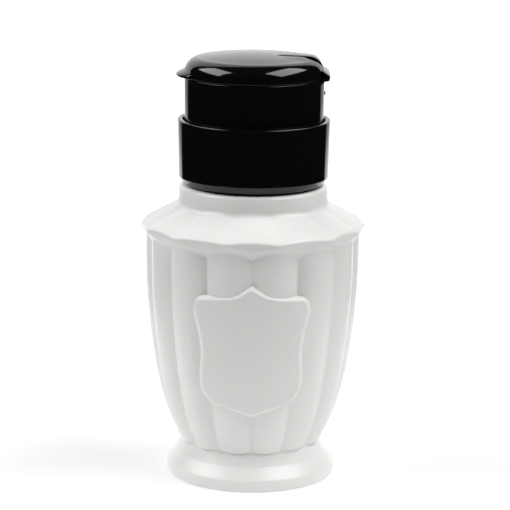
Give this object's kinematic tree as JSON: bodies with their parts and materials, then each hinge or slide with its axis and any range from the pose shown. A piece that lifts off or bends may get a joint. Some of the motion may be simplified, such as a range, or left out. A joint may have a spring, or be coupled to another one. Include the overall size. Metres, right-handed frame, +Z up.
{
  "type": "pump dispenser bottle",
  "caption": "Lobed white dispenser bottle with a black screw collar, a push-down pump cup holding a dish, and a snap-hinged lid with a thumb tab.",
  "frame": {"origin": "centre of the underside of the foot, on the surface that the bottle stands on", "axes": "+Z up through the lid, -Y out through the shield on the front, +X towards the hinge of the lid"},
  "size_m": [0.07, 0.0686, 0.1338],
  "materials": {
    "bottle_white": "blow moulded, semi-gloss",
    "cap_black": "injection moulded, high gloss",
    "pump_natural": "natural polypropylene, satin",
    "seal_white": "soft, matte",
    "spring_steel": "drawn and polished"
  },
  "bodies": {
    "bottle": {"bottle": "bottle_white", "neck": "bottle_white"},
    "pump": {"pump_housing": "pump_natural", "pump_cap": "pump_natural", "neck_gasket": "seal_white", "stem_seal": "seal_white", "ball_cage": "pump_natural", "dip_tube": "pump_natural", "return_spring": "spring_steel"},
    "collar": {"collar": "cap_black"},
    "push_cup": {"cup": "cap_black", "dish": "cap_black", "boss_ring": "seal_white", "outlet_grate": "pump_natural", "stem": "pump_natural", "piston": "seal_white", "valve_plug": "pump_natural"},
    "lid": {"lid": "cap_black", "lid_seal": "seal_white"},
    "inlet_ball": {"inlet_ball": "spring_steel"},
    "outlet_ball": {"outlet_ball": "spring_steel"}
  },
  "joints": [
    {"name": "closure_lift", "type": "slide", "parent": "bottle", "child": "pump", "axis": [0, 0, 1], "range_m": [0, 0.006]},
    {"name": "collar_turn", "type": "hinge", "parent": "pump", "child": "collar", "pos_m": [0, 0, 0.1], "axis": [0, 0, 1], "range_deg": [0, 540]},
    {"name": "press", "type": "slide", "parent": "pump", "child": "push_cup", "axis": [0, 0, -1], "range_m": [0, 0.008], "stiffness_N_per_m": 200, "springref_m": -0.006, "deforming": ["return_spring"]},
    {"name": "lid_hinge", "type": "hinge", "parent": "push_cup", "child": "lid", "pos_m": [0.02295, 0, 0.12655], "axis": [0, 1, 0], "range_deg": [0, 125]},
    {"name": "inlet_lift", "type": "slide", "parent": "pump", "child": "inlet_ball", "axis": [0, 0, 1], "range_m": [0, 0.0006]},
    {"name": "outlet_lift", "type": "slide", "parent": "push_cup", "child": "outlet_ball", "axis": [0, 0, 1], "range_m": [0, 0.0006]}
  ],
  "couplings": [
    {"joint": "collar_turn", "follows": "closure_lift", "rad_per_m": 1570.8}
  ]
}
